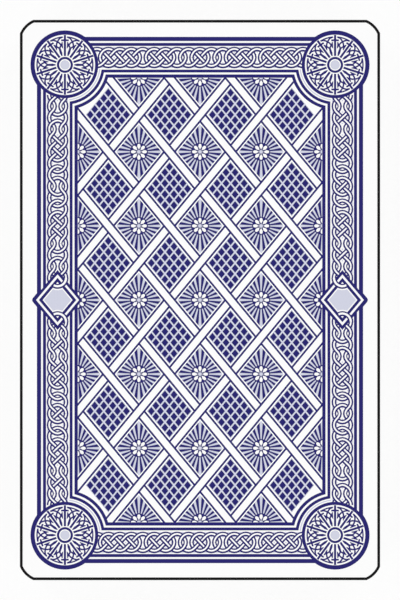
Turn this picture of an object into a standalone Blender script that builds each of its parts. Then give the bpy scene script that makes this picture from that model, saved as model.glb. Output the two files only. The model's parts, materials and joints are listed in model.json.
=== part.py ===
"""A deck of 54 playing cards, squared up and lying face down, one object for each card.

The origin is at the middle of the deck's underside. X runs across the cards, Y along them and Z up
through the deck, so every card lies flat, with its back upwards and its face down.
"""

import math

import bmesh
import bpy

# Size of one card
CARD_WIDTH = 0.05715
CARD_LENGTH = 0.0889
CARD_THICKNESS = 0.00028

# Each corner is trimmed off by this length along both sides, to an arc that bulges out past the straight cut
CORNER_TRIM = 0.00213
CORNER_BULGE = 0.00029
CORNER_STEPS = 6

# Air that stays between neighbouring cards, and how far a card in mid-deck lies out of square
CARD_GAP = 0.00002
SQUARING_ERROR = 0.00012

# Successive cards lie out of square in directions that never line up
SQUARING_TURN = math.radians(137.5)

# Ranks of one suit, in rising order
NUMBER_RANKS = ("ace", "two", "three", "four", "five", "six", "seven", "eight", "nine", "ten")
COURT_RANKS = ("jack", "queen", "king")
RANKS = NUMBER_RANKS + COURT_RANKS

# Colours are linear RGB
BACK_COLOUR = (0.30, 0.30, 0.47, 1.0)
FACE_COLOUR = (0.86, 0.86, 0.84, 1.0)
EDGE_COLOUR = (0.70, 0.69, 0.66, 1.0)
PRINT_ROUGHNESS = 0.42
EDGE_ROUGHNESS = 0.75

# Numbers of a card's materials, by whether a side of it faces up, down or outwards
SIDE_MATERIALS = {1: 0, -1: 1, 0: 2}


def suit(name, ranks):
    """Node names of one suit, in the order of the ranks given."""
    return [f"{rank}_of_{name}" for rank in ranks]


def deck_order():
    """Node names from the bottom card up, as a new deck is packed."""
    falling = RANKS[::-1]
    order = ["joker_black", "joker_red"]
    order += suit("spades", RANKS)
    order += suit("diamonds", RANKS)
    order += suit("clubs", falling)
    order += suit("hearts", falling)
    return order


def material(name, colour, roughness):
    made = bpy.data.materials.new(name)
    made.use_nodes = True
    shader = made.node_tree.nodes["Principled BSDF"]
    shader.inputs["Base Color"].default_value = colour
    shader.inputs["Roughness"].default_value = roughness
    shader.inputs["Metallic"].default_value = 0.0
    return made


def corner_arc(sign_x, sign_y):
    """Points of one trimmed corner, anticlockwise from the side it starts on."""
    half_chord = CORNER_TRIM / math.sqrt(2.0)
    radius = (half_chord**2 + CORNER_BULGE**2) / (2.0 * CORNER_BULGE)
    half_sweep = math.asin(half_chord / radius)
    inset = CORNER_TRIM / 2.0 + (radius - CORNER_BULGE) / math.sqrt(2.0)
    centre_x = sign_x * (CARD_WIDTH / 2.0 - inset)
    centre_y = sign_y * (CARD_LENGTH / 2.0 - inset)
    middle = math.atan2(sign_y, sign_x)
    points = []
    for step in range(CORNER_STEPS + 1):
        angle = middle + half_sweep * (2.0 * step / CORNER_STEPS - 1.0)
        points.append((centre_x + radius * math.cos(angle), centre_y + radius * math.sin(angle)))
    return points


def card_mesh(materials):
    """One blank card, its underside at Z = 0, with the materials of its back, its face and its edge."""
    outline = corner_arc(1, 1) + corner_arc(-1, 1) + corner_arc(-1, -1) + corner_arc(1, -1)
    shape = bmesh.new()
    underside = shape.faces.new([shape.verts.new((x, y, 0.0)) for x, y in outline])
    raised = bmesh.ops.extrude_face_region(shape, geom=[underside], use_keep_orig=True)
    top_points = [item for item in raised["geom"] if isinstance(item, bmesh.types.BMVert)]
    bmesh.ops.translate(shape, verts=top_points, vec=(0.0, 0.0, CARD_THICKNESS))
    bmesh.ops.recalc_face_normals(shape, faces=shape.faces[:])
    for side in shape.faces:
        side.material_index = SIDE_MATERIALS[round(side.normal.z)]
    mesh = bpy.data.meshes.new("card")
    shape.to_mesh(mesh)
    shape.free()
    for item in materials:
        mesh.materials.append(item)
    return mesh


def place_in_deck(number, count):
    """Where a card lies, counted from 0 at the bottom: the end cards lie true, those between a little out."""
    swing = SQUARING_ERROR * math.sin(math.pi * number / (count - 1))
    direction = SQUARING_TURN * number
    height = number * (CARD_THICKNESS + CARD_GAP)
    return (swing * math.cos(direction), swing * math.sin(direction), height)


def main():
    for item in list(bpy.data.objects):
        bpy.data.objects.remove(item, do_unlink=True)

    deck = bpy.data.objects.new("deck", None)
    bpy.context.collection.objects.link(deck)

    blank = card_mesh(
        [
            material("card_back", BACK_COLOUR, PRINT_ROUGHNESS),
            material("card_face", FACE_COLOUR, PRINT_ROUGHNESS),
            material("card_edge", EDGE_COLOUR, EDGE_ROUGHNESS),
        ]
    )
    order = deck_order()
    for number, name in enumerate(order):
        card = bpy.data.objects.new(name, blank)
        card.parent = deck
        card.location = place_in_deck(number, len(order))
        bpy.context.collection.objects.link(card)


main()
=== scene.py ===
"""Looks of a squared deck of playing cards: a printed card of its own stands for each card of the frame.

Every card is one closed mesh. Its back and its face are flat artwork, drawn here in millimetres from shapes
laid over each other and cut up so that each triangle holds one ink. Its edge shows the card's three plies.
"""

import json
import math
from collections import Counter

import bpy
import numpy as np
from mathutils import Color, Matrix, Vector
from mathutils.geometry import delaunay_2d_cdt

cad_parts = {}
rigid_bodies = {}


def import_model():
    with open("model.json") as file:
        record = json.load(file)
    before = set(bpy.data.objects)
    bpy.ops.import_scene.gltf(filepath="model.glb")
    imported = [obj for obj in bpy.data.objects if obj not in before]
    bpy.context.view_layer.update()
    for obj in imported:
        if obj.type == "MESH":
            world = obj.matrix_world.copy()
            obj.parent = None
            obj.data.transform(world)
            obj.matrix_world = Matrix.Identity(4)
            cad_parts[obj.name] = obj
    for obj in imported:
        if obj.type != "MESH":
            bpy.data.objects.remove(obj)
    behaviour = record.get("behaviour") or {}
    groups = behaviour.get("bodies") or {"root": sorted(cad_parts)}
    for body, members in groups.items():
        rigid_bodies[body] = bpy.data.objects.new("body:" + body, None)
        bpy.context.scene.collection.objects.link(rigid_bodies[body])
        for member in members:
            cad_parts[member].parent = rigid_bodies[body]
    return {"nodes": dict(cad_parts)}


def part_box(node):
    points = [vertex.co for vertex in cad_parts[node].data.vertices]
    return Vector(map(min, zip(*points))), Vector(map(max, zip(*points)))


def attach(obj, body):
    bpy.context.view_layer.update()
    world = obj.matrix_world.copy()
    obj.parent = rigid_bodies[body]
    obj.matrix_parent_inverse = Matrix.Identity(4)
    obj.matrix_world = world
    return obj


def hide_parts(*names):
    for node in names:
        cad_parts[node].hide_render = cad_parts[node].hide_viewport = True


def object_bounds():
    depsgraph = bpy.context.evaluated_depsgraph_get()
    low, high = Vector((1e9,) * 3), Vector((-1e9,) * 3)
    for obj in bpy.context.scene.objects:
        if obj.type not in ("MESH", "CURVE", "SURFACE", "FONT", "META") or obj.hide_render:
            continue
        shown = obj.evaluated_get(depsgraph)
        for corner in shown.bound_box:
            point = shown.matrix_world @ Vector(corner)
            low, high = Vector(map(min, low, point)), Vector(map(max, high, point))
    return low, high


for item in list(bpy.data.objects):
    bpy.data.objects.remove(item, do_unlink=True)
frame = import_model()
cad_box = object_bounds()

MM = 0.001

# Points closer than the first distance become one, and a point that strays less than the second from a
# straight line between its neighbours is left out
WELD = 1e-5
STRAIGHT = 0.003

# Size of one card in millimetres, all alike, with the corners that the frame's cards have
card_low, card_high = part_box("joker_black")
CARD_WIDTH = round((card_high.x - card_low.x) / MM, 3)
CARD_LENGTH = round((card_high.y - card_low.y) / MM, 3)
CORNER_TRIM = 2.13
CORNER_BULGE = 0.29
CORNER_STEPS = 6
CORNERS = ((1, 1), (-1, 1), (-1, -1), (1, -1))
HALF_WIDTH = CARD_WIDTH / 2.0
HALF_LENGTH = CARD_LENGTH / 2.0

# Share of the card's thickness that each outer ply takes
PLY_SHARE = 0.3

# Inks and papers, by their place in the list of materials
PAPER, NAVY, TINT, BLACK, RED, GOLD, PLY, CORE = range(8)

# Printed lines of the back: the black one along the card's edge by its width, and the others by the
# distances of their sides from that edge
KEYLINE = 0.44
FRAME_OUTER = (2.699, 3.361)
FRAME_INNER = (3.661, 4.146)
FIELD_OUTER = (7.896, 8.353)
FIELD_INNER = (8.658, 9.177)

# Roundels at the corners of the back, with the radii of their lines
ROUNDEL_INSET = 7.142
ROUNDEL_RING = (4.793, 5.295)
ROUNDEL_RING_OUTSIDE = 5.472
ROUNDEL_STEPS = 60
FIELD_OUTER_SCOOP = (5.860, 6.319)
FIELD_INNER_SCOOP = (6.654, 7.145)
SCOOP_STEPS = 12
HUB_TINT = 0.75
HUB_RING = (0.913, 1.280)
HUB_STEPS = 28

# Pale line in the gutter between a roundel and the field
GUTTER_RADIUS = 5.58
GUTTER_LINE = 0.2
GUTTER_SWEEP = math.radians(38.0)

# Tracery of a roundel: its points lie so far out along a bay's middle and so far off to its side, and those
# of the mullion are one side of an outline
BAYS = 10
SPOKE = ((1.42, 0.0), (4.74, 0.0))
SPOKE_LINE = 0.34
CROSSBAR_RADIUS = 3.93
CROSSBAR_SWEEP = math.radians(8.8)
CROSSBAR_LINE = 0.28
CROSSBAR_STEPS = 2
RIM_RADIUS = 4.43
RIM_SWEEP = math.radians(13.4)
RIM_LINE = 0.22
RIM_STEPS = 4
TRACERY_LINE = 0.25
MULLION = ((1.46, 0.07), (1.95, 0.20), (2.50, 0.17), (2.80, 0.16))
OGEE = ((2.74, 0.0), (3.19, 0.39), (3.60, 0.21), (3.83, 0.0), (4.08, -0.24), (4.28, -0.58), (4.31, -1.05))
BARB = ((2.54, 0.53), (2.66, 0.42), (3.20, 0.30), (3.60, 0.65), (3.60, 0.79))

# Knotwork bands between the frame lines: a strand runs straight from crossing to crossing at an angle to
# the band, and turns back in arcs along the band's edges
BAND_INSET = 5.98
BAND_Y = HALF_LENGTH - BAND_INSET
BAND_X = HALF_WIDTH - BAND_INSET
KNOT_PITCH = 1.815
KNOT_ANGLE = math.radians(46.5)
KNOT_CROSSING = KNOT_PITCH / 2.0 * math.tan(KNOT_ANGLE)
KNOT_EDGE = KNOT_CROSSING + KNOT_PITCH / 2.0 * math.tan(KNOT_ANGLE / 2.0)
BREAK = 0.455
CURVE_STEPS = 3

# A strand's whole width, the white along it, and how far that white lies above the strand's middle
STRAND_WIDTH = 0.755
STRAND_CORE = 0.25
CORE_LIFT = 0.025

# Crossings of the bands in order: those of a side band start from the lozenge
TOP_KNOTS = "x|xxx|xx||x||xx|xxx|x"
SIDE_KNOTS = ".-|-xx||=||xx-|-x"
SIDE_KNOTS_MIRRORED = ".-x-xx||x||xx-x-x"
SIDE_START = 3.505

# Pale lozenges in a band's spaces, by their half sizes along and across it: specks beside its middle line
# and between crossings, and scallops along its edges
SPECK = (0.16, 0.16)
SCALLOP = (0.34, 0.1)
SPECK_REACH = 0.88
SCALLOP_REACH = 1.6

# White slits between strands that turn back side by side
SLIT = (0.12, 0.36)

# Lozenges at the middle of the long sides: half width and half height of each outline, from the outermost
LOZENGE = (
    (NAVY, 3.94, 4.76),
    (PAPER, 3.41, 4.06),
    (NAVY, 2.98, 3.53),
    (PAPER, 2.38, 2.86),
    (TINT, 2.16, 2.56),
)
LOZENGE_TIP = (4.19, 5.03)
LOZENGE_TIP_RADIUS = 0.5
LOZENGE_TIP_STEPS = 6
LOZENGE_HALO = 0.2

# Rings that link the side bands to the lozenges
RING_RADIUS = KNOT_EDGE
RING_WIDTH = 0.80
RING_CORE = 0.33
RING_STEPS = 8
RING_UNDER = math.radians(90.0)
RING_OVER = math.radians(117.0)

# Each ring by the card's side, the half of that side and the hand on which it passes over its lozenge
RINGS = ((-1, 1, 1), (-1, -1, 1), (1, 1, -1), (1, -1, 1))

# Field of the back: a trellis of interlaced straps
TRELLIS_COLUMNS = 4
TRELLIS_ROWS = 6
CELL_X = (HALF_WIDTH - FIELD_INNER[1]) / TRELLIS_COLUMNS
CELL_Y = (HALF_LENGTH - FIELD_INNER[1]) / TRELLIS_ROWS
STRAP_WIDTH = 1.6
STRAP_WHITE = 1.0
CELL_SHARE = 0.74

# Motifs of the field's lozenges: rays about a rosette, or a mesh of small lozenges
RAYS = 24
RAY_SHARE = 0.53
RAY_START = 1.2
ROSETTE_RADIUS = 1.45
ROSETTE_STEPS = 16
ROSETTE_EYE = 0.3
ROSETTE_EYE_STEPS = 12
PETALS = 8
PETAL = ((0.35, 0.0), (0.8, -0.26), (1.15, -0.22), (1.3, 0.0), (1.15, 0.22), (0.8, 0.26))
MESHES = 5
MESH_SHARE = 0.77

# Faces: a rank and a small pip in two corners, and larger pips in three columns. A row is so many sixths of
# the way from the card's middle to the outermost row, and pips below the middle stand on their heads
SUIT_INKS = {"spades": BLACK, "hearts": RED, "diamonds": RED, "clubs": BLACK}
RANK_MARKS = {
    "ace": "A",
    "two": "2",
    "three": "3",
    "four": "4",
    "five": "5",
    "six": "6",
    "seven": "7",
    "eight": "8",
    "nine": "9",
    "ten": "10",
    "jack": "J",
    "queen": "Q",
    "king": "K",
}
MIDDLE_ROWS = {2: (6, -6), 3: (6, 0, -6), 5: (0,), 7: (3,), 8: (3, -3), 9: (0,), 10: (4, -4)}
SIDE_ROWS = {
    4: (6, -6),
    5: (6, -6),
    6: (6, 0, -6),
    7: (6, 0, -6),
    8: (6, 0, -6),
    9: (6, 2, -2, -6),
    10: (6, 2, -2, -6),
}
ROW_PARTS = 6
PIP_ROW = 29.5
PIP_COLUMN = 11.6
PIP_HEIGHT = 11.0
ACE_HEIGHT = 22.0
CORNER_RANK = (-24.4, 38.0)
CORNER_RANK_SIZE = (5.0, 7.0)
CORNER_PIP = (-24.4, 30.2)
CORNER_PIP_HEIGHT = 4.8
RANK_STEPS = 6
RANK_WEIGHT = 0.015

# Pips one unit high. Each station of an outline is a point, the way the line comes in and the way it goes on
PIP_STEPS = 6
HEART = (
    ((0.0, -0.5), (0.6, -1.0), (0.6, 1.0)),
    ((0.46, 0.2), (0.0, 1.0), (0.0, 1.0)),
    ((0.24, 0.5), (-1.0, 0.0), (-1.0, 0.0)),
    ((0.0, 0.3), (-0.3, -1.0), (-0.3, 1.0)),
    ((-0.24, 0.5), (-1.0, 0.0), (-1.0, 0.0)),
    ((-0.46, 0.2), (0.0, -1.0), (0.0, -1.0)),
)
DIAMOND = (
    ((0.0, -0.5), (0.6, -1.0), (0.6, 1.0)),
    ((0.37, 0.0), (0.85, 1.0), (-0.85, 1.0)),
    ((0.0, 0.5), (-0.6, 1.0), (-0.6, -1.0)),
    ((-0.37, 0.0), (-0.85, -1.0), (0.85, -1.0)),
)
STALK = (
    ((0.04, -0.1), (1.0, 0.0), (0.0, -1.0)),
    ((0.2, -0.5), (1.0, -0.1), (-1.0, 0.0)),
    ((-0.2, -0.5), (-1.0, 0.0), (1.0, 0.1)),
    ((-0.04, -0.1), (0.0, 1.0), (1.0, 0.0)),
)
SPADE_HEIGHT = 0.82
SPADE_RISE = 0.09
CLUB_LEAVES = ((0.0, 0.265), (0.26, -0.1), (-0.26, -0.1))
CLUB_LEAF = 0.235
CLUB_MIDDLE = 0.14
CLUB_STEPS = 20

# Courts: a framed panel in two halves, parted by a sash, each with a headpiece over a shield and something
# to hold beside it
PANEL = (19.2, 36.0)
PANEL_LINES = ((NAVY, 0.0), (PAPER, 0.4), (NAVY, 0.9), (PAPER, 1.1))
OUTLINE = 0.32
BEAD_STEPS = 16
SHIELD = (
    ((-9.0, 19.0), (0.0, 1.0), (1.0, 0.0)),
    ((9.0, 19.0), (1.0, 0.0), (0.0, -1.0)),
    ((9.0, 10.0), (0.0, -1.0), (0.0, -1.0)),
    ((0.0, -3.0), (-0.8, -1.0), (-0.8, 1.0)),
    ((-9.0, 10.0), (0.0, 1.0), (0.0, 1.0)),
)
SHIELD_DISC = ((0.0, 12.2), 5.4)
SHIELD_DISC_STEPS = 20
SHIELD_PIP_HEIGHT = 7.4
COURT_PIP = (-14.5, 30.8)
COURT_PIP_HEIGHT = 6.0
HEADBAND = ((-7.8, 20.4), (7.8, 20.4), (7.8, 23.0), (-7.8, 23.0))
JEWELS = ((-4.8, 21.7), (0.0, 21.7), (4.8, 21.7))
JEWEL = (1.3, 0.9)
PEARL = 1.0
KING_POINTS = ((-7.6, 23.0), (-9.2, 30.4), (-4.9, 26.6), (0.0, 32.6))
QUEEN_POINTS = ((-7.6, 23.0), (-8.8, 28.2), (-6.0, 25.8), (-4.4, 30.6), (-2.2, 26.2), (0.0, 32.6))
JACK_CAP = (
    ((7.6, 23.0), (1.0, 0.0), (0.4, 1.0)),
    ((0.0, 29.0), (-1.0, 0.0), (-1.0, 0.0)),
    ((-7.6, 23.0), (0.4, -1.0), (1.0, 0.0)),
)
JACK_PLUME = (((4.0, 23.4), (-1.0, -0.2), (0.1, 1.0)), ((10.0, 33.0), (1.0, 0.25), (0.2, -1.0)))
SWORD_BLADE = ((13.4, 14.0), (14.6, 14.0), (14.6, 29.6), (14.0, 31.6), (13.4, 29.6))
SWORD_GUARD = ((11.6, 12.8), (16.4, 12.8), (16.4, 14.0), (11.6, 14.0))
SWORD_GRIP = ((13.5, 9.6), (14.5, 9.6), (14.5, 12.8), (13.5, 12.8))
SWORD_POMMEL = ((14.0, 8.9), 0.95)
FLOWER_STEM = ((14.0, 9.0), (13.4, 16.0), (14.0, 24.0))
FLOWER_STEM_WIDTH = 0.7
FLOWER_HEAD = (14.0, 26.8)
FLOWER_SCALE = 2.8
FLOWER_EYE = 1.1
SPEAR_SHAFT = ((13.6, 8.5), (14.4, 8.5), (14.4, 26.4), (13.6, 26.4))
SPEAR_HEAD = ((14.0, 25.2), (15.9, 27.4), (14.0, 32.6), (12.1, 27.4))
STUDS = 4
STUD_START = (-13.6, 10.6)
STUD_PITCH = 3.7
STUD = (1.3, 1.6)
SASH_ANGLE = math.radians(22.0)
SASH_HALF_LENGTH = 24.0
SASH_LINES = ((NAVY, 7.8), (PAPER, 7.1), (GOLD, 6.2))
SASH_PITCH = 5.6
SASH_LOZENGES = 4
SASH_LOZENGE = (2.3, 1.8)
SASH_BEAD = 0.6

# Jokers: a cap with three horns and bells in each half, and a star in two corners
CAP_BAND = ((-10.6, 4.0), (10.6, 4.0), (10.6, 8.0), (-10.6, 8.0))
CAP_HORN = (
    ((5.6, 8.0), (0.1, -1.0), (-1.0, 0.0)),
    ((-5.6, 8.0), (-1.0, 0.0), (0.1, 1.0)),
    ((0.0, 31.0), (0.3, 1.0), (0.3, -1.0)),
)
CAP_SIDE_HORN = (
    ((3.2, 8.0), (-1.0, 0.0), (0.1, 1.0)),
    ((19.6, 14.6), (0.5, -1.0), (-1.0, 0.5)),
    ((10.6, 8.0), (-0.2, -1.0), (-1.0, 0.0)),
)
CAP_BELLS = ((0.0, 32.0), (19.9, 13.8), (-19.9, 13.8))
CAP_BELL = 2.2
STAR_POINTS = 5
STAR_RADII = (3.2, 1.3)


# Flat shapes


def polar(radius, angle):
    """The point at that distance and angle from the origin."""
    return Vector((radius * math.cos(angle), radius * math.sin(angle)))


def placed(points, centre, angle=0.0):
    """Points turned about the origin and then moved to a centre."""
    turn = Matrix.Rotation(angle, 2)
    return [turn @ Vector(point) + Vector(centre) for point in points]


def arc(centre, radius, start, end, steps):
    """Points along an arc, both ends included."""
    angles = [start + (end - start) * step / steps for step in range(steps + 1)]
    return [Vector(centre) + polar(radius, angle) for angle in angles]


def circle(centre, radius, steps):
    return arc(centre, radius, 0.0, 2.0 * math.pi, steps)[:-1]


def lozenge(centre, half_width, half_height):
    return placed([(half_width, 0), (0, half_height), (-half_width, 0), (0, -half_height)], centre)


def curve(start, start_way, end, end_way, steps):
    """Points of a smooth curve between two points with given directions, without the last point."""
    reach = (end - start).length
    leave = Vector(start_way).normalized() * reach
    arrive = Vector(end_way).normalized() * reach
    points = []
    for step in range(steps):
        t = step / steps
        from_start = start * (2 * t**3 - 3 * t**2 + 1) + leave * (t**3 - 2 * t**2 + t)
        to_end = end * (3 * t**2 - 2 * t**3) + arrive * (t**3 - t**2)
        points.append(from_start + to_end)
    return points


def ribbon(path, width, first_way=None, last_way=None):
    """Outline of a stripe along a path. Its ends are square to the path, or to the directions given."""
    path = [Vector(point) for point in path]
    ways = [(after - before).normalized() for before, after in zip(path, path[1:])]
    ways.insert(0, Vector(first_way or ways[0]).normalized())
    ways.append(Vector(last_way or ways[-1]).normalized())
    left, right = [], []
    for number, point in enumerate(path):
        before, after = ways[number], ways[number + 1]
        if number == 0 and first_way:
            after = before
        if number == len(path) - 1 and last_way:
            before = after
        along = (before + after).normalized()
        across = Vector((-along.y, along.x)) * (width / 2.0 / along.dot(after))
        left.append(point + across)
        right.append(point - across)
    return left + right[::-1]


def card_outline(inset=0.0):
    """The card's outline, or the line at that distance inside it, anticlockwise."""
    half_chord = CORNER_TRIM / math.sqrt(2.0)
    radius = (half_chord**2 + CORNER_BULGE**2) / (2.0 * CORNER_BULGE)
    centre_inset = CORNER_TRIM / 2.0 + (radius - CORNER_BULGE) / math.sqrt(2.0)
    half_sweep = math.pi / 4.0 - math.acos((centre_inset - inset) / (radius - inset))
    points = []
    for sign_x, sign_y in CORNERS:
        centre = (sign_x * (HALF_WIDTH - centre_inset), sign_y * (HALF_LENGTH - centre_inset))
        middle = math.atan2(sign_y, sign_x)
        points += arc(centre, radius - inset, middle - half_sweep, middle + half_sweep, CORNER_STEPS)
    return points


def within(points, corners):
    """Which of these points lie inside a closed outline."""
    x, y = points[:, :1], points[:, 1:]
    start, end = corners, np.roll(corners, -1, axis=0)
    rise = end[:, 1] - start[:, 1]
    crosses = (start[:, 1] > y) != (end[:, 1] > y)
    run = end[:, 0] - start[:, 0]
    meets = start[:, 0] + (y - start[:, 1]) * run / np.where(rise == 0.0, 1.0, rise)
    return (crosses & (x < meets)).sum(axis=1) % 2 == 1


class Sheet:
    """Flat artwork of one side of a card: shapes in paint order, each covering what lies under it."""

    def __init__(self, ink):
        self.shapes = []
        self.paint(ink, card_outline())

    def paint(self, ink, points, inside=None):
        """Adds one closed shape and gives its number. It shows only within the shape numbered inside."""
        self.shapes.append((ink, [Vector(point) for point in points], inside))
        return len(self.shapes) - 1

    def inks_at(self, points):
        """The ink that shows at each of these points."""
        inks = np.zeros(len(points), int)
        order = np.argsort(points[:, 1])
        heights = points[order, 1]
        masks = {}
        for ink, outline, inside in self.shapes:
            corners = np.array(outline)
            low, high = corners.min(axis=0), corners.max(axis=0)
            near = order[slice(*np.searchsorted(heights, (low[1], high[1])))]
            near = near[(points[near, 0] > low[0]) & (points[near, 0] < high[0])]
            if inside is not None:
                if inside not in masks:
                    masks[inside] = within(points, np.array(self.shapes[inside][1]))
                near = near[masks[inside][near]]
            inks[near[within(points[near], corners)]] = ink
        return inks

    def cut(self, points, edges):
        """Triangles between these edges, with their inks and where each given point ended up."""
        places, _, triangles, sources, _, _ = delaunay_2d_cdt(points, edges, [], 1, WELD)
        found = {source: place for place, merged in enumerate(sources) for source in merged}
        places, triangles = np.array(places), np.array(triangles)
        return places, triangles, self.inks_at(places[triangles].mean(axis=1)), found

    def divide(self):
        """Cuts the artwork where one ink meets another: places, triangles, inks and the rim's places."""
        points, edges = [], []
        for _, outline, _ in self.shapes:
            numbers = range(len(points), len(points) + len(outline))
            edges += zip(numbers, [*numbers[1:], numbers[0]])
            points += outline
        places, triangles, inks, found = self.cut(points, edges)
        rim = [found[number] for number in range(len(self.shapes[0][1]))]
        borders = ink_borders(places, triangles, inks, rim)
        kept = sorted(borders)
        number_of = {place: number for number, place in enumerate(kept)}
        edges = [(number_of[a], number_of[b]) for a in kept for b in borders[a] if a < b]
        places, triangles, inks, found = self.cut([Vector(places[place]) for place in kept], edges)
        return places, triangles, inks, np.array([found[number_of[place]] for place in rim])


def ink_borders(places, triangles, inks, rim):
    """Neighbours of each place along the lines where inks meet, with straight stretches left whole."""
    sides = {}
    for corners, ink in zip(triangles.tolist(), inks.tolist()):
        for a, b in zip(corners, corners[1:] + corners[:1]):
            sides.setdefault((min(a, b), max(a, b)), []).append(ink)
    borders = {}
    for (a, b), found in sides.items():
        if len(found) == 1 or found[0] != found[1]:
            borders.setdefault(a, set()).add(b)
            borders.setdefault(b, set()).add(a)
    fixed = set(rim)
    for place in sorted(borders):
        if place in fixed or len(borders[place]) != 2:
            continue
        before, after = borders[place]
        chord = places[after] - places[before]
        aside = places[place] - places[before]
        stray = abs(chord[0] * aside[1] - chord[1] * aside[0]) / np.linalg.norm(chord)
        if stray < STRAIGHT and after not in borders[before]:
            borders[before].remove(place)
            borders[before].add(after)
            borders[after].remove(place)
            borders[after].add(before)
            del borders[place]
    return borders


# Artwork of the back


def notched_frame(inset):
    """A rectangle at that distance from the card's edge, its corners cut out up to the roundels' centres."""
    x, y = HALF_WIDTH - inset, HALF_LENGTH - inset
    notch_x, notch_y = HALF_WIDTH - ROUNDEL_INSET, HALF_LENGTH - ROUNDEL_INSET
    points = []
    for sign_x, sign_y in CORNERS:
        corner = [(x, notch_y), (notch_x, notch_y), (notch_x, y)]
        corner = corner if sign_x * sign_y > 0 else corner[::-1]
        points += [(sign_x * a, sign_y * b) for a, b in corner]
    return points


def scooped_frame(inset, radius):
    """A rectangle at that distance from the card's edge, its corners scooped out round the roundels."""
    centre = Vector((HALF_WIDTH - ROUNDEL_INSET, HALF_LENGTH - ROUNDEL_INSET))
    beyond = ROUNDEL_INSET - inset
    first = -math.acos(beyond / radius)
    last = -math.pi - math.asin(beyond / radius)
    points = []
    for sign_x, sign_y in CORNERS:
        scoop = arc(centre, radius, first, last, SCOOP_STEPS)
        scoop = scoop if sign_x * sign_y > 0 else scoop[::-1]
        points += [(sign_x * a, sign_y * b) for a, b in scoop]
    return points


def plait(knots, start, rising_over):
    """Strands of a knotwork band as (lies over, path, first way, last way), cut halfway between crossings.

    The band runs along the first coordinate from start. knots has a letter for each crossing on its middle
    line: x lets the strands cross, | turns them back across the band, - turns them along it, = does so too
    and swaps which strands lie over on both sides of it, and a dot is a crossing that stays hidden.
    """
    strands = []
    for number, letter in enumerate(knots):
        knot = Vector((start + number * KNOT_PITCH, 0.0))
        if letter == "x":
            for rise in (1, -1):
                reach = Vector((KNOT_PITCH / 4.0, rise * KNOT_CROSSING / 2.0))
                strands.append(((rise > 0) != rising_over, [knot - reach, knot + reach], reach, reach))
        for side in (1, -1):
            for way in (1, -1):
                if not 0 <= number + way < len(knots):
                    continue
                swapped = "=" in (letter, knots[number + way])
                outward = Vector((way * KNOT_PITCH / 2.0, side * KNOT_CROSSING))
                crossing = knot + outward
                edge = knot + Vector((way * KNOT_PITCH, side * KNOT_EDGE))
                level = Vector((way, 0.0))
                if letter == "|":
                    first = Vector((0.0, side))
                    path = curve(knot + level * BREAK, first, crossing, outward, CURVE_STEPS)
                elif letter in "-=":
                    first = level
                    beside = knot + Vector((0.0, side * BREAK))
                    path = curve(beside, first, crossing, outward, CURVE_STEPS)
                else:
                    first = outward
                    path = [knot + outward / 2.0]
                path += curve(crossing, outward, edge, level, CURVE_STEPS)
                path.append(edge)
                strands.append(((side * way > 0) == (rising_over != swapped), path, first, level))
    return strands


def specks(knots, start):
    """Pale shapes in the spaces of a band."""
    shapes = []
    for number in range(len(knots)):
        knot = Vector((start + number * KNOT_PITCH, 0.0))
        middle = knot - Vector((KNOT_PITCH / 2.0, 0.0))
        shapes.append(lozenge(middle, *SPECK))
        for side in (1, -1):
            shapes.append(lozenge(knot + Vector((0.0, side * SPECK_REACH)), *SPECK))
            shapes.append(lozenge(middle + Vector((0.0, side * SCALLOP_REACH)), *SCALLOP))
    return shapes


def slits(knots, start):
    """White shapes over a band, where the strands of two knots or of both its sides run side by side."""
    shapes = []
    for number, letter in enumerate(knots):
        knot = Vector((start + number * KNOT_PITCH, 0.0))
        if number > 0 and knots[number - 1] == letter == "|":
            shapes.append(lozenge(knot - Vector((KNOT_PITCH / 2.0, 0.0)), *SLIT))
        if letter in "-=":
            for side in (1, -1):
                shapes.append(lozenge(knot + Vector((0.0, side * SPECK_REACH)), *SLIT[::-1]))
    return shapes


def paint_strand(sheet, path, first_way=None, last_way=None, width=STRAND_WIDTH, core=STRAND_CORE):
    """Paints a strand with the white along it, which lies a little above its middle."""
    lifted = [point + Vector((0.0, CORE_LIFT)) for point in path]
    sheet.paint(NAVY, ribbon(path, width, first_way, last_way))
    sheet.paint(PAPER, ribbon(lifted, core, first_way, last_way))


def paint_plait(sheet, knots, start, origin, along, across, rising_over=True):
    """Paints a band on the card: pale specks, strands that lie under, those over them, and white slits."""
    turn = Matrix((along, across)).transposed()
    for shape in specks(knots, start):
        sheet.paint(TINT, [turn @ point + Vector(origin) for point in shape])
    strands = plait(knots, start, rising_over)
    for layer in (False, True):
        for over, path, first_way, last_way in strands:
            if over == layer:
                points = [turn @ point + Vector(origin) for point in path]
                paint_strand(sheet, points, turn @ first_way, turn @ last_way)
    for shape in slits(knots, start):
        sheet.paint(PAPER, [turn @ point + Vector(origin) for point in shape])


def paint_bands(sheet):
    """Paints the upper and left bands, and the lower and right ones, which are the same turned half round."""
    top_start = -(len(TOP_KNOTS) - 1) / 2.0 * KNOT_PITCH
    for turn in (1, -1):
        side_origin = (-turn * BAND_X, 0.0)
        paint_plait(sheet, TOP_KNOTS, top_start, (0.0, turn * BAND_Y), (turn, 0), (0, turn))
        paint_plait(sheet, SIDE_KNOTS, SIDE_START, side_origin, (0, turn), (turn, 0), turn > 0)
        paint_plait(sheet, SIDE_KNOTS_MIRRORED, SIDE_START, side_origin, (0, -turn), (turn, 0))


def half_ring(side, half, hand, sweep):
    """Path of the ring that ends a side band at a lozenge, from the edge on one hand round that far."""
    centre = Vector((side * BAND_X, half * SIDE_START))
    path = []
    for step in range(RING_STEPS + 1):
        angle = sweep * step / RING_STEPS
        path.append(centre + Vector((hand * math.cos(angle), -half * math.sin(angle))) * RING_RADIUS)
    return path


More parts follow.
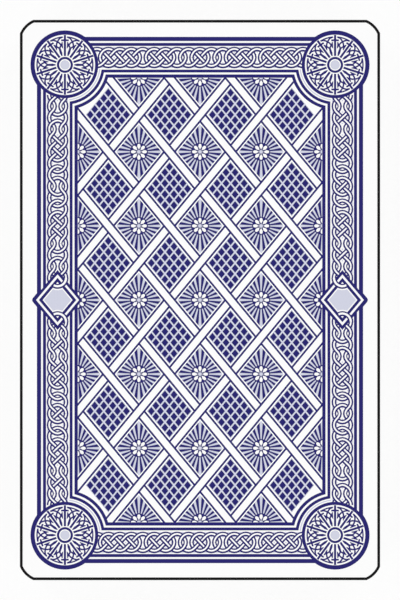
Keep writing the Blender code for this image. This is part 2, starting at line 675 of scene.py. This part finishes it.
def lozenge_tip(side):
    """Outermost lozenge of a long side, its tip towards the card's edge rounded off."""
    half_width, half_height = LOZENGE_TIP
    slope = math.atan2(half_width, half_height)
    round_off = LOZENGE_TIP_RADIUS / math.cos(slope)
    points = [(0.0, -half_height)]
    points += arc((half_width - round_off, 0.0), LOZENGE_TIP_RADIUS, -slope, slope, LOZENGE_TIP_STEPS)
    points += [(0.0, half_height), (-half_width, 0.0)]
    return [(side * (BAND_X + x), y) for x, y in points]


def paint_lozenges(sheet):
    """Lozenges over the frame's long sides, each linked through the rings that end the side bands."""
    for side, half, hand in RINGS:
        paint_strand(sheet, half_ring(side, half, -hand, RING_UNDER), (0, -half))
    panels = {}
    for side in (1, -1):
        for ink, half_width, half_height in LOZENGE:
            panels[side] = sheet.paint(ink, lozenge((side * BAND_X, 0.0), half_width, half_height))
    for side, half, hand in RINGS:
        path = half_ring(side, half, hand, RING_OVER)
        sheet.paint(PAPER, ribbon(path, RING_WIDTH + 2.0 * LOZENGE_HALO), panels[side])
        paint_strand(sheet, path, (0, -half), width=RING_WIDTH, core=RING_CORE)


def paint_roundel(sheet, centre):
    """Paints a wheel window: spokes with crossbars, and a bay of tracery between each two of them."""
    sheet.paint(NAVY, circle(centre, ROUNDEL_RING[1], ROUNDEL_STEPS))
    sheet.paint(PAPER, circle(centre, ROUNDEL_RING[0], ROUNDEL_STEPS))
    for bay in range(BAYS):
        spoke = math.pi / 2.0 + 2.0 * math.pi * bay / BAYS
        middle = spoke + math.pi / BAYS
        sheet.paint(NAVY, placed(ribbon(SPOKE, SPOKE_LINE), centre, spoke))
        crossbar = arc((0.0, 0.0), CROSSBAR_RADIUS, -CROSSBAR_SWEEP, CROSSBAR_SWEEP, CROSSBAR_STEPS)
        sheet.paint(NAVY, placed(ribbon(crossbar, CROSSBAR_LINE), centre, spoke))
        rim = arc((0.0, 0.0), RIM_RADIUS, -RIM_SWEEP, RIM_SWEEP, RIM_STEPS)
        sheet.paint(NAVY, placed(ribbon(rim, RIM_LINE), centre, middle))
        mullion = [*MULLION, *[(out, -aside) for out, aside in MULLION[::-1]]]
        sheet.paint(NAVY, placed(mullion, centre, middle))
        for hand in (1, -1):
            for outline in (ribbon(OGEE, TRACERY_LINE), BARB):
                points = [(out, hand * aside) for out, aside in outline]
                sheet.paint(NAVY, placed(points, centre, middle))
    sheet.paint(NAVY, circle(centre, HUB_RING[1], HUB_STEPS))
    sheet.paint(PAPER, circle(centre, HUB_RING[0], HUB_STEPS))
    sheet.paint(TINT, circle(centre, HUB_TINT, HUB_STEPS))


def paint_sunburst(sheet, centre, field):
    """A lozenge of rays about a rosette."""
    half_width, half_height = CELL_X * CELL_SHARE, CELL_Y * CELL_SHARE
    sheet.paint(TINT, lozenge(centre, half_width, half_height), field)
    for ray in range(RAYS):
        wedge = []
        for side in (-1, 1):
            angle = 2.0 * math.pi * (ray + 0.5 + side * RAY_SHARE / 2.0) / RAYS
            reach = 1.0 / (abs(math.cos(angle)) / half_width + abs(math.sin(angle)) / half_height)
            wedge += [polar(RAY_START, angle), polar(reach, angle)][::-side]
        sheet.paint(NAVY, placed(wedge, centre), field)
    sheet.paint(NAVY, circle(centre, ROSETTE_RADIUS, ROSETTE_STEPS), field)
    for petal in range(PETALS):
        angle = 2.0 * math.pi * petal / PETALS
        sheet.paint(PAPER, placed(PETAL, centre, angle), field)
    sheet.paint(TINT, circle(centre, ROSETTE_EYE, ROSETTE_EYE_STEPS), field)


def paint_harlequin(sheet, centre, field):
    """A lozenge of small lozenges."""
    sheet.paint(TINT, lozenge(centre, CELL_X * CELL_SHARE, CELL_Y * CELL_SHARE), field)
    width, height = CELL_X * CELL_SHARE / MESHES, CELL_Y * CELL_SHARE / MESHES
    for a in range(MESHES):
        for b in range(MESHES):
            shift = Vector(((a - b) * width, (a + b + 1 - MESHES) * height))
            sheet.paint(NAVY, lozenge(centre + shift, width * MESH_SHARE, height * MESH_SHARE), field)


def paint_field(sheet, field):
    """Paints a trellis of straps that pass over and under each other, with a motif in each lozenge of it.

    A strap that would cut off a corner of the field is left out.
    """
    straps = []
    for i in range(-TRELLIS_COLUMNS, TRELLIS_COLUMNS + 1):
        for j in range(-TRELLIS_ROWS, TRELLIS_ROWS + 1):
            centre = Vector((i * CELL_X, j * CELL_Y))
            if (i + j) % 2:
                beside_corner = abs(i) + abs(j) == TRELLIS_COLUMNS + TRELLIS_ROWS - 1
                for rise in (1, -1):
                    if beside_corner and rise * i * j < 0:
                        continue
                    reach = Vector((CELL_X / 2.0, rise * CELL_Y / 2.0))
                    straps.append(((i % 2 == 0) == (rise > 0), [centre - reach, centre + reach]))
            elif i % 2:
                paint_harlequin(sheet, centre, field)
            else:
                paint_sunburst(sheet, centre, field)
    for layer in (False, True):
        for over, path in straps:
            if over == layer:
                sheet.paint(NAVY, ribbon(path, STRAP_WIDTH), field)
                sheet.paint(PAPER, ribbon(path, STRAP_WHITE), field)


def paint_back():
    """The artwork that all the cards share."""
    sheet = Sheet(BLACK)
    sheet.paint(PAPER, card_outline(KEYLINE))
    centres = [
        Vector((sign_x * (HALF_WIDTH - ROUNDEL_INSET), sign_y * (HALF_LENGTH - ROUNDEL_INSET)))
        for sign_x, sign_y in CORNERS
    ]
    for centre in centres:
        sheet.paint(NAVY, circle(centre, ROUNDEL_RING_OUTSIDE, ROUNDEL_STEPS))
    for side in (1, -1):
        sheet.paint(NAVY, lozenge_tip(side))
    for start, end in (FRAME_OUTER, FRAME_INNER):
        sheet.paint(NAVY, notched_frame(start))
        sheet.paint(PAPER, notched_frame(end))
    paint_bands(sheet)
    for line, scoop in ((FIELD_OUTER, FIELD_OUTER_SCOOP), (FIELD_INNER, FIELD_INNER_SCOOP)):
        sheet.paint(NAVY, scooped_frame(line[0], scoop[0]))
        field = sheet.paint(PAPER, scooped_frame(line[1], scoop[1]))
    paint_field(sheet, field)
    paint_lozenges(sheet)
    for centre in centres:
        inward = math.atan2(math.copysign(1.0, -centre.y), math.copysign(1.0, -centre.x))
        gutter = arc(centre, GUTTER_RADIUS, inward - GUTTER_SWEEP, inward + GUTTER_SWEEP, SCOOP_STEPS)
        sheet.paint(TINT, ribbon(gutter, GUTTER_LINE))
        paint_roundel(sheet, centre)
    return sheet


# Artwork of the faces


def smooth(stations):
    """Closed outline through stations, smooth wherever the line goes on the way that it comes in."""
    points = []
    for (start, _, leaving), (end, arriving, _) in zip(stations, stations[1:] + stations[:1]):
        points += curve(Vector(start), leaving, Vector(end), arriving, PIP_STEPS)
    return points


def pip_outlines(suit):
    """Shapes that make up a pip one unit high, about the origin."""
    if suit == "hearts":
        return [smooth(HEART)]
    if suit == "diamonds":
        return [smooth(DIAMOND)]
    stalk = smooth(STALK)
    if suit == "spades":
        return [[Vector((x, SPADE_RISE - y * SPADE_HEIGHT)) for x, y in smooth(HEART)], stalk]
    leaves = [circle(centre, CLUB_LEAF, CLUB_STEPS) for centre in CLUB_LEAVES]
    return [*leaves, circle((0.0, 0.0), CLUB_MIDDLE, CLUB_STEPS), stalk]


def paint_pip(sheet, suit, centre, height, half=1):
    """A pip at a centre, or turned upside down together with that centre for the card's other half."""
    for outline in pip_outlines(suit):
        sheet.paint(SUIT_INKS[suit], [(point * height + Vector(centre)) * half for point in outline])


def rank_outlines(mark):
    """Outlines of a rank's mark about the origin, at its size in a corner, each with whether it is a hole."""
    data = bpy.data.curves.new("rank", "FONT")
    data.body = mark
    data.resolution_u = RANK_STEPS
    data.offset = RANK_WEIGHT
    item = bpy.data.objects.new("rank", data)
    mesh = item.to_mesh()
    places = np.array([point.co[:2] for point in mesh.vertices])
    uses = Counter(key for polygon in mesh.polygons for key in polygon.edge_keys)
    bpy.data.objects.remove(item)
    bpy.data.curves.remove(data)
    neighbours = {}
    for (a, b), count in uses.items():
        if count == 1:
            neighbours.setdefault(a, []).append(b)
            neighbours.setdefault(b, []).append(a)
    low, high = places.min(axis=0), places.max(axis=0)
    wide, tall = CORNER_RANK_SIZE
    scale = tall / (high[1] - low[1])
    places = (places - (low + high) / 2.0) * (min(scale, wide / (high[0] - low[0])), scale)
    loops = []
    while neighbours:
        loop = [min(neighbours)]
        while loop[-1] in neighbours:
            loop += [place for place in neighbours.pop(loop[-1]) if place in neighbours][:1]
        loops.append(places[loop])
    marked = []
    for loop in loops:
        hole = any(within(loop[:1], other)[0] for other in loops if other is not loop)
        marked.append((hole, [Vector(point) for point in loop]))
    return sorted(marked, key=lambda pair: pair[0])


def paint_corners(sheet, rank, suit):
    """The rank over a small pip, in two opposite corners."""
    outlines = rank_outlines(RANK_MARKS[rank])
    for half in (1, -1):
        for hole, outline in outlines:
            ink = PAPER if hole else SUIT_INKS[suit]
            sheet.paint(ink, [(point + Vector(CORNER_RANK)) * half for point in outline])
        paint_pip(sheet, suit, CORNER_PIP, CORNER_PIP_HEIGHT, half)


def paint_pips(sheet, count, suit):
    """The large pips of a number card."""
    for column, rows in ((0.0, MIDDLE_ROWS), (-PIP_COLUMN, SIDE_ROWS), (PIP_COLUMN, SIDE_ROWS)):
        for row in rows.get(count, ()):
            half = -1 if row < 0 else 1
            paint_pip(sheet, suit, Vector((column, row * PIP_ROW / ROW_PARTS)) * half, PIP_HEIGHT, half)


def paint_edged(sheet, ink, outline, half):
    """A shape with a black outline, in the card's upper half or turned round into the lower."""
    points = [Vector(point) * half for point in outline]
    sheet.paint(ink, points)
    sheet.paint(BLACK, ribbon([*points, points[0]], OUTLINE))


def paint_headpiece(sheet, rank, half):
    """A jack's plumed cap, or a crown with pearls, on a jewelled band."""
    if rank == "jack":
        paint_edged(sheet, NAVY, smooth(JACK_PLUME), half)
        paint_edged(sheet, RED, smooth(JACK_CAP), half)
    else:
        points = KING_POINTS if rank == "king" else QUEEN_POINTS
        crown = [*points, *[(-x, y) for x, y in points[-2::-1]]]
        paint_edged(sheet, GOLD, crown, half)
        for tip in crown[1::2]:
            paint_edged(sheet, PAPER, circle(tip, PEARL, BEAD_STEPS), half)
    paint_edged(sheet, GOLD, HEADBAND, half)
    for jewel in JEWELS:
        sheet.paint(RED, [point * half for point in lozenge(jewel, *JEWEL)])


def paint_held(sheet, rank, half):
    """What stands beside the shield: a king's sword, a queen's flower or a jack's spear."""
    if rank == "king":
        paint_edged(sheet, TINT, SWORD_BLADE, half)
        paint_edged(sheet, RED, SWORD_GRIP, half)
        paint_edged(sheet, GOLD, SWORD_GUARD, half)
        paint_edged(sheet, GOLD, circle(*SWORD_POMMEL, BEAD_STEPS), half)
    elif rank == "queen":
        sheet.paint(NAVY, [point * half for point in ribbon(FLOWER_STEM, FLOWER_STEM_WIDTH)])
        outline = [Vector(point) * FLOWER_SCALE for point in PETAL]
        for petal in range(PETALS):
            angle = 2.0 * math.pi * petal / PETALS
            paint_edged(sheet, RED, placed(outline, FLOWER_HEAD, angle), half)
        paint_edged(sheet, GOLD, circle(FLOWER_HEAD, FLOWER_EYE, BEAD_STEPS), half)
    else:
        paint_edged(sheet, GOLD, SPEAR_SHAFT, half)
        paint_edged(sheet, TINT, SPEAR_HEAD, half)


def paint_court(sheet, rank, suit):
    """A framed panel whose halves are alike, turned round, with a sash between."""
    for ink, inset in PANEL_LINES:
        x, y = PANEL[0] - inset, PANEL[1] - inset
        panel = sheet.paint(ink, [(x, y), (-x, y), (-x, -y), (x, -y)])
    for half in (1, -1):
        paint_edged(sheet, NAVY if SUIT_INKS[suit] == RED else RED, smooth(SHIELD), half)
        paint_edged(sheet, PAPER, circle(*SHIELD_DISC, SHIELD_DISC_STEPS), half)
        paint_pip(sheet, suit, SHIELD_DISC[0], SHIELD_PIP_HEIGHT, half)
        paint_pip(sheet, suit, COURT_PIP, COURT_PIP_HEIGHT, half)
        paint_headpiece(sheet, rank, half)
        paint_held(sheet, rank, half)
        for stud in range(STUDS):
            centre = Vector(STUD_START) + Vector((0.0, stud * STUD_PITCH))
            paint_edged(sheet, GOLD if stud % 2 else NAVY, lozenge(centre, *STUD), half)
    along = polar(1.0, SASH_ANGLE)
    for ink, width in SASH_LINES:
        sheet.paint(ink, ribbon([along * -SASH_HALF_LENGTH, along * SASH_HALF_LENGTH], width), panel)
    for number in range(-SASH_LOZENGES, SASH_LOZENGES + 1):
        centre = along * (number * SASH_PITCH)
        sheet.paint(RED, placed(lozenge((0.0, 0.0), *SASH_LOZENGE), centre, SASH_ANGLE), panel)
        sheet.paint(NAVY, circle(centre + along * (SASH_PITCH / 2.0), SASH_BEAD, BEAD_STEPS), panel)


def paint_joker(sheet, ink):
    """A cap with bells in each half, and a star in two opposite corners."""
    other = GOLD if ink == RED else TINT
    star = []
    for tip in range(2 * STAR_POINTS):
        star.append(polar(STAR_RADII[tip % 2], math.pi / 2.0 + tip * math.pi / STAR_POINTS))
    for half in (1, -1):
        sheet.paint(ink, [(point + Vector(CORNER_RANK)) * half for point in star])
        side_horn = smooth(CAP_SIDE_HORN)
        paint_edged(sheet, ink, side_horn, half)
        paint_edged(sheet, ink, [(-x, y) for x, y in side_horn], half)
        paint_edged(sheet, other, smooth(CAP_HORN), half)
        paint_edged(sheet, PAPER, CAP_BAND, half)
        for bell in CAP_BELLS:
            paint_edged(sheet, GOLD, circle(bell, CAP_BELL, BEAD_STEPS), half)


def paint_face(name):
    """The artwork of one card's face."""
    sheet = Sheet(PAPER)
    if name.startswith("joker"):
        paint_joker(sheet, RED if name.endswith("red") else BLACK)
        return sheet
    rank, suit = name.split("_of_")
    count = list(RANK_MARKS).index(rank) + 1
    paint_corners(sheet, rank, suit)
    if count == 1:
        paint_pip(sheet, suit, (0.0, 0.0), ACE_HEIGHT)
    elif count <= max(SIDE_ROWS):
        paint_pips(sheet, count, suit)
    else:
        paint_court(sheet, rank, suit)
    return sheet


# Materials

# Gloss of the varnish, the grain of the paper under it, and the linen emboss by the distance of its ridges.
# WAVE_PERIOD is the distance after which a wave of scale 1 repeats
SPECULAR = 0.1
POLISH_SPREAD = 0.07
FIBRE_SCALE = 900.0
FIBRE_DETAIL = 3.0
WAVE_PERIOD = math.pi / 10.0
LINEN_PITCH = 0.00045
LINEN_SCALE = WAVE_PERIOD / LINEN_PITCH
LINEN_SHARE = 0.8
RELIEF_STRENGTH = 0.6
RELIEF_DEPTH = 0.00001

# Surfaces in the order of the inks' numbers: name, display colour, roughness and share of linen in the relief
SURFACES = (
    ("card_paper", (253, 253, 253), 0.46, LINEN_SHARE),
    ("navy_ink", (36, 33, 106), 0.42, LINEN_SHARE),
    ("pale_blue_ink", (209, 211, 227), 0.44, LINEN_SHARE),
    ("black_ink", (4, 4, 5), 0.42, LINEN_SHARE),
    ("red_ink", (196, 28, 38), 0.42, LINEN_SHARE),
    ("gold_ink", (230, 176, 56), 0.42, LINEN_SHARE),
    ("card_ply", (248, 247, 244), 0.8, 0.0),
    ("card_core", (222, 220, 214), 0.85, 0.0),
)
FULL_CHANNEL = 255.0


def linear(display_colour):
    """Linear colour of a display colour with channels from 0 to 255."""
    return (*(Color(display_colour) / FULL_CHANNEL).from_srgb_to_scene_linear(), 1.0)


def add_node(tree, kind, **values):
    """A new node with those settings."""
    made = tree.nodes.new(kind)
    for name, value in values.items():
        setattr(made, name, value)
    return made


def make_surface(name, display_colour, roughness, linen):
    """Paper surface with fibres, an uneven polish and, where linen isn't 0, the varnish's linen emboss."""
    material = bpy.data.materials.new(name)
    material.use_nodes = True
    tree = material.node_tree
    shader = tree.nodes["Principled BSDF"]
    shader.inputs["Base Color"].default_value = linear(display_colour)
    shader.inputs["Specular IOR Level"].default_value = SPECULAR
    place = add_node(tree, "ShaderNodeTexCoord").outputs["Object"]
    fibre = add_node(tree, "ShaderNodeTexNoise")
    fibre.inputs["Scale"].default_value = FIBRE_SCALE
    fibre.inputs["Detail"].default_value = FIBRE_DETAIL
    tree.links.new(place, fibre.inputs["Vector"])
    spread = add_node(tree, "ShaderNodeMapRange")
    spread.inputs["To Min"].default_value = roughness - POLISH_SPREAD
    spread.inputs["To Max"].default_value = roughness + POLISH_SPREAD
    tree.links.new(fibre.outputs["Fac"], spread.inputs["Value"])
    tree.links.new(spread.outputs["Result"], shader.inputs["Roughness"])
    height = fibre.outputs["Fac"]
    for direction in ("X", "Y") if linen else ():
        wave = add_node(tree, "ShaderNodeTexWave", bands_direction=direction)
        wave.inputs["Scale"].default_value = LINEN_SCALE
        tree.links.new(place, wave.inputs["Vector"])
        raised = add_node(tree, "ShaderNodeMath", operation="MULTIPLY_ADD")
        raised.inputs[1].default_value = linen
        tree.links.new(wave.outputs["Fac"], raised.inputs[0])
        tree.links.new(height, raised.inputs[2])
        height = raised.outputs[0]
    bump = add_node(tree, "ShaderNodeBump")
    bump.inputs["Strength"].default_value = RELIEF_STRENGTH
    bump.inputs["Distance"].default_value = RELIEF_DEPTH
    tree.links.new(height, bump.inputs["Height"])
    tree.links.new(bump.outputs["Normal"], shader.inputs["Normal"])
    return material


# Cards


def layer_points(places, height, middle, mirror=1.0):
    """Places of the artwork as points in metres, at a height, about a card's middle."""
    points = np.empty((len(places), 3))
    points[:, 0] = places[:, 0] * MM * mirror + middle.x
    points[:, 1] = places[:, 1] * MM + middle.y
    points[:, 2] = height
    return points


def strip_triangles(upper, lower):
    """Triangles between two loops of points, one below the other."""
    next_upper, next_lower = np.roll(upper, -1), np.roll(lower, -1)
    first = np.stack((upper, lower, next_lower), axis=1)
    second = np.stack((upper, next_lower, next_upper), axis=1)
    return np.concatenate((first, second))


def printed_mesh(name, points, triangles, inks, materials):
    """Mesh of flat triangles, each in the material of its ink."""
    mesh = bpy.data.meshes.new(name)
    mesh.vertices.add(len(points))
    mesh.vertices.foreach_set("co", points.ravel())
    mesh.loops.add(triangles.size)
    mesh.loops.foreach_set("vertex_index", triangles.ravel())
    mesh.polygons.add(len(triangles))
    mesh.polygons.foreach_set("loop_start", np.arange(0, triangles.size, triangles.shape[1]))
    mesh.polygons.foreach_set("material_index", inks)
    for material in materials:
        mesh.materials.append(material)
    mesh.update(calc_edges=True)
    mesh.validate()
    mesh.shade_flat()
    return mesh


def card_mesh(name, back, face, low, high, materials):
    """Closed mesh of one card between two corners: back on top, face below, plies round its edge."""
    back_places, back_triangles, back_inks, back_rim = back
    face_places, face_triangles, face_inks, face_rim = face
    middle = (low + high) / 2.0
    ply = PLY_SHARE * (high.z - low.z)
    outline = back_places[back_rim]
    count = len(outline)
    layers = [
        layer_points(back_places, high.z, middle),
        layer_points(outline, high.z - ply, middle),
        layer_points(outline, low.z + ply, middle),
        layer_points(face_places, low.z, middle, mirror=-1.0),
    ]
    starts = np.cumsum([0] + [len(layer) for layer in layers])
    below = face_places[face_rim] * np.array((-1.0, 1.0))
    partner = [int(np.argmin(((below - point) ** 2).sum(axis=1))) for point in outline]
    loops = [
        back_rim + starts[0],
        np.arange(count) + starts[1],
        np.arange(count) + starts[2],
        face_rim[partner] + starts[3],
    ]
    triangles = [back_triangles + starts[0], face_triangles + starts[3]]
    inks = [back_inks, face_inks]
    for upper, lower, ink in zip(loops, loops[1:], (PLY, CORE, PLY)):
        triangles.append(strip_triangles(upper, lower))
        inks.append(np.full(2 * count, ink))
    points, triangles, inks = (np.concatenate(parts) for parts in (layers, triangles, inks))
    return printed_mesh(name, points, triangles, inks, materials)


def make_cards(materials):
    """A printed card in place of each card of the frame, moving with it."""
    back = paint_back().divide()
    for name in frame["nodes"]:
        low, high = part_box(name)
        face = paint_face(name).divide()
        mesh = card_mesh(f"{name}_printed", back, face, low, high, materials)
        card = bpy.data.objects.new(f"{name}_printed", mesh)
        bpy.context.scene.collection.objects.link(card)
        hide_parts(name)
        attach(card, name)


# Studio

# Camera straight above the deck: its lens and sensor in millimetres, and the height of its view at the top
CAMERA_LENS = 200.0
CAMERA_SENSOR = 36.0
VIEW_HEIGHT = 0.0952

# Floor just under the deck: a share of what shows of it is plain white, and the rest takes light and shadow
FLOOR_HALF = 2.0
FLOOR_DROP = 0.00002
FLOOR_COLOUR = (0.97, 0.97, 0.97, 1.0)
FLOOR_WHITE_SHARE = 0.88

# Even light from all round, and round soft lamps in a ring above the deck
WHITE = (1.0, 1.0, 1.0, 1.0)
SKY_STRENGTH = 0.4
LAMPS = 4
LAMP_RING = 0.55
LAMP_HEIGHT = 0.6
LAMP_SIZE = 0.5
LAMP_POWER = 1.41


def backdrop_rays(tree):
    """A value that is 1 for rays that show a background: to the camera, in gloss and through glass."""
    path = add_node(tree, "ShaderNodeLightPath")
    first = add_node(tree, "ShaderNodeMath", operation="MAXIMUM")
    second = add_node(tree, "ShaderNodeMath", operation="MAXIMUM")
    tree.links.new(path.outputs["Is Camera Ray"], first.inputs[0])
    tree.links.new(path.outputs["Is Glossy Ray"], first.inputs[1])
    tree.links.new(first.outputs[0], second.inputs[0])
    tree.links.new(path.outputs["Is Transmission Ray"], second.inputs[1])
    return second.outputs[0]


def make_floor():
    """A pale floor, which takes the deck's shadow."""
    mesh = bpy.data.meshes.new("floor")
    side = FLOOR_HALF
    corners = [(-side, -side), (side, -side), (side, side), (-side, side)]
    mesh.from_pydata([(x, y, -FLOOR_DROP) for x, y in corners], [], [(0, 1, 2, 3)])
    floor = bpy.data.objects.new("floor", mesh)
    bpy.context.scene.collection.objects.link(floor)
    material = bpy.data.materials.new("floor")
    material.use_nodes = True
    tree = material.node_tree
    tree.nodes.remove(tree.nodes["Principled BSDF"])
    matt = add_node(tree, "ShaderNodeBsdfDiffuse")
    matt.inputs["Color"].default_value = FLOOR_COLOUR
    glow = add_node(tree, "ShaderNodeEmission")
    share = add_node(tree, "ShaderNodeMath", operation="MULTIPLY")
    share.inputs[1].default_value = FLOOR_WHITE_SHARE
    tree.links.new(backdrop_rays(tree), share.inputs[0])
    mix = add_node(tree, "ShaderNodeMixShader")
    tree.links.new(share.outputs[0], mix.inputs[0])
    tree.links.new(matt.outputs[0], mix.inputs[1])
    tree.links.new(glow.outputs[0], mix.inputs[2])
    tree.links.new(mix.outputs[0], tree.nodes["Material Output"].inputs["Surface"])
    mesh.materials.append(material)


def make_light():
    """Soft lamps above the deck, and a sky that shows as white."""
    world = bpy.data.worlds.new("studio")
    bpy.context.scene.world = world
    world.use_nodes = True
    tree = world.node_tree
    tree.nodes.clear()
    soft = add_node(tree, "ShaderNodeBackground")
    soft.inputs["Color"].default_value = WHITE
    soft.inputs["Strength"].default_value = SKY_STRENGTH
    white = add_node(tree, "ShaderNodeBackground")
    white.inputs["Color"].default_value = WHITE
    mix = add_node(tree, "ShaderNodeMixShader")
    output = add_node(tree, "ShaderNodeOutputWorld")
    tree.links.new(backdrop_rays(tree), mix.inputs[0])
    tree.links.new(soft.outputs[0], mix.inputs[1])
    tree.links.new(white.outputs[0], mix.inputs[2])
    tree.links.new(mix.outputs[0], output.inputs["Surface"])
    for number in range(LAMPS):
        data = bpy.data.lights.new(f"softbox_{number}", "AREA")
        data.shape = "DISK"
        data.size = LAMP_SIZE
        data.energy = LAMP_POWER
        lamp = bpy.data.objects.new(f"softbox_{number}", data)
        direction = polar(LAMP_RING, 2.0 * math.pi * (number + 0.5) / LAMPS)
        lamp.location = (direction.x, direction.y, LAMP_HEIGHT)
        lamp.rotation_euler = (-lamp.location).to_track_quat("-Z", "Y").to_euler()
        lamp.visible_camera = False
        bpy.context.scene.collection.objects.link(lamp)


def make_camera():
    """A camera over the middle of the deck, looking straight down."""
    top = cad_box[1][2]
    data = bpy.data.cameras.new("camera")
    data.lens = CAMERA_LENS
    data.sensor_width = CAMERA_SENSOR
    camera = bpy.data.objects.new("camera", data)
    camera.location = (0.0, 0.0, top + VIEW_HEIGHT * CAMERA_LENS / CAMERA_SENSOR)
    bpy.context.scene.collection.objects.link(camera)
    bpy.context.scene.camera = camera


make_cards([make_surface(*surface) for surface in SURFACES])
make_floor()
make_light()
make_camera()
bpy.context.scene.view_settings.view_transform = "Standard"
